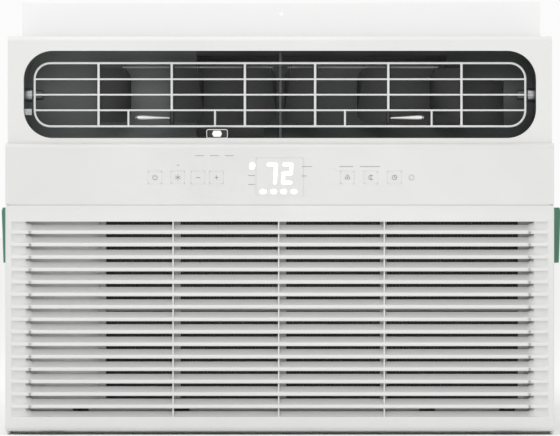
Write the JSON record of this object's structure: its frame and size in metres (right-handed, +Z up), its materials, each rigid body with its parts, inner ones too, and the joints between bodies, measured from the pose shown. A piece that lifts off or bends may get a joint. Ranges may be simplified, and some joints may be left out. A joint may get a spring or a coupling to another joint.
{
  "type": "window air conditioner",
  "caption": "Window air conditioner: steel cabinet, white louvred front that tilts, slide-out filter, tilting air director with coupled vanes, push keys, green grips.",
  "frame": {"origin": "on the base pan's underside, under the middle of the overall box", "axes": "+X to the right as you face the front, -Y out of the front into the room, +Z up"},
  "size_m": [0.506, 0.546, 0.387],
  "materials": {
    "front_plastic": "satin moulded",
    "band_plastic": "satin moulded, printed marks",
    "display_plastic": "satin translucent, lit digits",
    "key_plastic": "satin moulded",
    "circuit_board": "satin",
    "grille_plastic": "satin moulded",
    "filter_plastic": "matt",
    "filter_cloth": "woven mesh",
    "bezel_plastic": "matt",
    "director_plastic": "satin",
    "pivot_steel": "plated",
    "vane_plastic": "matt",
    "link_plastic": "matt",
    "vent_black_plastic": "matt",
    "knob_plastic": "satin",
    "damper_plastic": "matt",
    "cabinet_paint": "powder coat",
    "pan_steel": "galvanised",
    "black_rubber": "matt",
    "handle_plastic": "satin moulded",
    "screw_steel": "zinc plated",
    "duct_foam": "moulded foam",
    "blower_plastic": "matt",
    "motor_steel": "zinc plated",
    "fan_plastic": "matt",
    "fin_aluminium": "raw fins",
    "copper_tube": "copper tube",
    "compressor_paint": "black enamel",
    "terminal_plastic": "satin",
    "capacitor_can": "drawn can"
  },
  "bodies": {
    "housing": {"front_frame": "front_plastic", "control_band": "band_plastic", "display_window": "display_plastic", "key_board": "circuit_board", "outlet_bezel": "bezel_plastic", "director_pivots": "pivot_steel", "friction_clip": "pivot_steel", "vent_bracket": "vent_black_plastic", "cabinet": "cabinet_paint", "top_rail": "cabinet_paint", "rear_guard": "cabinet_paint", "base_pan": "pan_steel", "bulkhead": "pan_steel", "control_box": "pan_steel", "drain_plug": "black_rubber", "cord_gland": "black_rubber", "compressor_mounts": "black_rubber", "handle_left": "handle_plastic", "handle_right": "handle_plastic", "case_screws": "screw_steel", "air_duct": "duct_foam", "blower_scroll": "duct_foam", "fan_motor": "motor_steel", "motor_bracket": "motor_steel", "fan_shroud": "fan_plastic", "condenser_coil": "fin_aluminium", "evaporator_coil": "fin_aluminium", "condenser_bends": "copper_tube", "evaporator_bends": "copper_tube", "suction_pipe": "copper_tube", "discharge_pipe": "copper_tube", "liquid_line": "copper_tube", "temp_sensor": "copper_tube", "compressor": "compressor_paint", "terminal_cover": "terminal_plastic", "run_capacitor": "capacitor_can"},
    "power_key": {"key_power": "key_plastic"},
    "mode_key": {"key_mode": "key_plastic"},
    "temp_down_key": {"key_temp_down": "key_plastic"},
    "temp_up_key": {"key_temp_up": "key_plastic"},
    "fan_key": {"key_fan": "key_plastic"},
    "sleep_key": {"key_sleep": "key_plastic"},
    "timer_key": {"key_timer": "key_plastic"},
    "grille": {"intake_grille": "grille_plastic"},
    "filter": {"filter_frame": "filter_plastic", "filter_mesh": "filter_cloth"},
    "director": {"director_ring": "director_plastic"},
    "left_lead_vane": {"vane_left_lead": "vane_plastic"},
    "left_outer_vane": {"vane_left_outer": "vane_plastic"},
    "left_inner_vane": {"vane_left_inner": "vane_plastic"},
    "left_tie": {"tie_bar_left": "link_plastic"},
    "right_lead_vane": {"vane_right_lead": "vane_plastic"},
    "right_outer_vane": {"vane_right_outer": "vane_plastic"},
    "right_inner_vane": {"vane_right_inner": "vane_plastic"},
    "right_tie": {"tie_bar_right": "link_plastic"},
    "vent_slider": {"vent_knob": "knob_plastic"},
    "vent_flap": {"vent_door": "damper_plastic"},
    "fan_rotor": {"motor_shaft": "motor_steel", "blower_wheel": "blower_plastic", "condenser_fan": "fan_plastic"}
  },
  "joints": [
    {"name": "power_press", "type": "slide", "parent": "housing", "child": "power_key", "axis": [0, 1, 0], "range_m": [0, 0.0009], "stiffness_N_per_m": 500},
    {"name": "mode_press", "type": "slide", "parent": "housing", "child": "mode_key", "axis": [0, 1, 0], "range_m": [0, 0.0009], "stiffness_N_per_m": 500},
    {"name": "temp_down_press", "type": "slide", "parent": "housing", "child": "temp_down_key", "axis": [0, 1, 0], "range_m": [0, 0.0009], "stiffness_N_per_m": 500},
    {"name": "temp_up_press", "type": "slide", "parent": "housing", "child": "temp_up_key", "axis": [0, 1, 0], "range_m": [0, 0.0009], "stiffness_N_per_m": 500},
    {"name": "fan_press", "type": "slide", "parent": "housing", "child": "fan_key", "axis": [0, 1, 0], "range_m": [0, 0.0009], "stiffness_N_per_m": 500},
    {"name": "sleep_press", "type": "slide", "parent": "housing", "child": "sleep_key", "axis": [0, 1, 0], "range_m": [0, 0.0009], "stiffness_N_per_m": 500},
    {"name": "timer_press", "type": "slide", "parent": "housing", "child": "timer_key", "axis": [0, 1, 0], "range_m": [0, 0.0009], "stiffness_N_per_m": 500},
    {"name": "grille_tilt", "type": "hinge", "parent": "housing", "child": "grille", "pos_m": [0, -0.264, 0.01], "axis": [1, 0, 0], "range_deg": [0, 60]},
    {"name": "filter_slide", "type": "slide", "parent": "housing", "child": "filter", "axis": [1, 0, 0], "range_m": [0, 0.3]},
    {"name": "director_tilt", "type": "hinge", "parent": "housing", "child": "director", "pos_m": [0, -0.252, 0.2995], "axis": [1, 0, 0], "range_deg": [-20, 20]},
    {"name": "left_lead_turn", "type": "hinge", "parent": "director", "child": "left_lead_vane", "pos_m": [-0.09576, -0.252, 0.2995], "axis": [0, 0, 1], "range_deg": [0, 116]},
    {"name": "left_outer_turn", "type": "hinge", "parent": "director", "child": "left_outer_vane", "pos_m": [-0.16046, -0.252, 0.2995], "axis": [0, 0, 1], "range_deg": [0, 116]},
    {"name": "left_inner_turn", "type": "hinge", "parent": "director", "child": "left_inner_vane", "pos_m": [-0.03106, -0.252, 0.2995], "axis": [0, 0, 1], "range_deg": [0, 116]},
    {"name": "left_tie_turn", "type": "hinge", "parent": "left_lead_vane", "child": "left_tie", "pos_m": [-0.07371, -0.23822, 0.3246], "axis": [0, 0, 1], "range_deg": [-116, 0]},
    {"name": "right_lead_turn", "type": "hinge", "parent": "director", "child": "right_lead_vane", "pos_m": [0.09576, -0.252, 0.2995], "axis": [0, 0, 1], "range_deg": [-116, 0]},
    {"name": "right_outer_turn", "type": "hinge", "parent": "director", "child": "right_outer_vane", "pos_m": [0.16046, -0.252, 0.2995], "axis": [0, 0, 1], "range_deg": [-116, 0]},
    {"name": "right_inner_turn", "type": "hinge", "parent": "director", "child": "right_inner_vane", "pos_m": [0.03106, -0.252, 0.2995], "axis": [0, 0, 1], "range_deg": [-116, 0]},
    {"name": "right_tie_turn", "type": "hinge", "parent": "right_lead_vane", "child": "right_tie", "pos_m": [0.07371, -0.23822, 0.3246], "axis": [0, 0, 1], "range_deg": [0, 116]},
    {"name": "vent_knob_slide", "type": "slide", "parent": "housing", "child": "vent_slider", "axis": [1, 0, 0], "range_m": [-0.0038, 0.0038]},
    {"name": "vent_door_swing", "type": "hinge", "parent": "housing", "child": "vent_flap", "pos_m": [-0.12, -0.0975, 0.3235], "axis": [1, 0, 0], "range_deg": [-15, 15]},
    {"name": "fan_spin", "type": "hinge", "parent": "housing", "child": "fan_rotor", "pos_m": [0, 0, 0.158], "axis": [0, 1, 0], "continuous": true}
  ],
  "couplings": [
    {"joint": "left_outer_turn", "follows": "left_lead_turn", "ratio": 1},
    {"joint": "left_inner_turn", "follows": "left_lead_turn", "ratio": 1},
    {"joint": "left_tie_turn", "follows": "left_lead_turn", "ratio": -1},
    {"joint": "right_outer_turn", "follows": "right_lead_turn", "ratio": 1},
    {"joint": "right_inner_turn", "follows": "right_lead_turn", "ratio": 1},
    {"joint": "right_tie_turn", "follows": "right_lead_turn", "ratio": -1},
    {"joint": "vent_door_swing", "follows": "vent_knob_slide", "rad_per_m": 68.8}
  ]
}
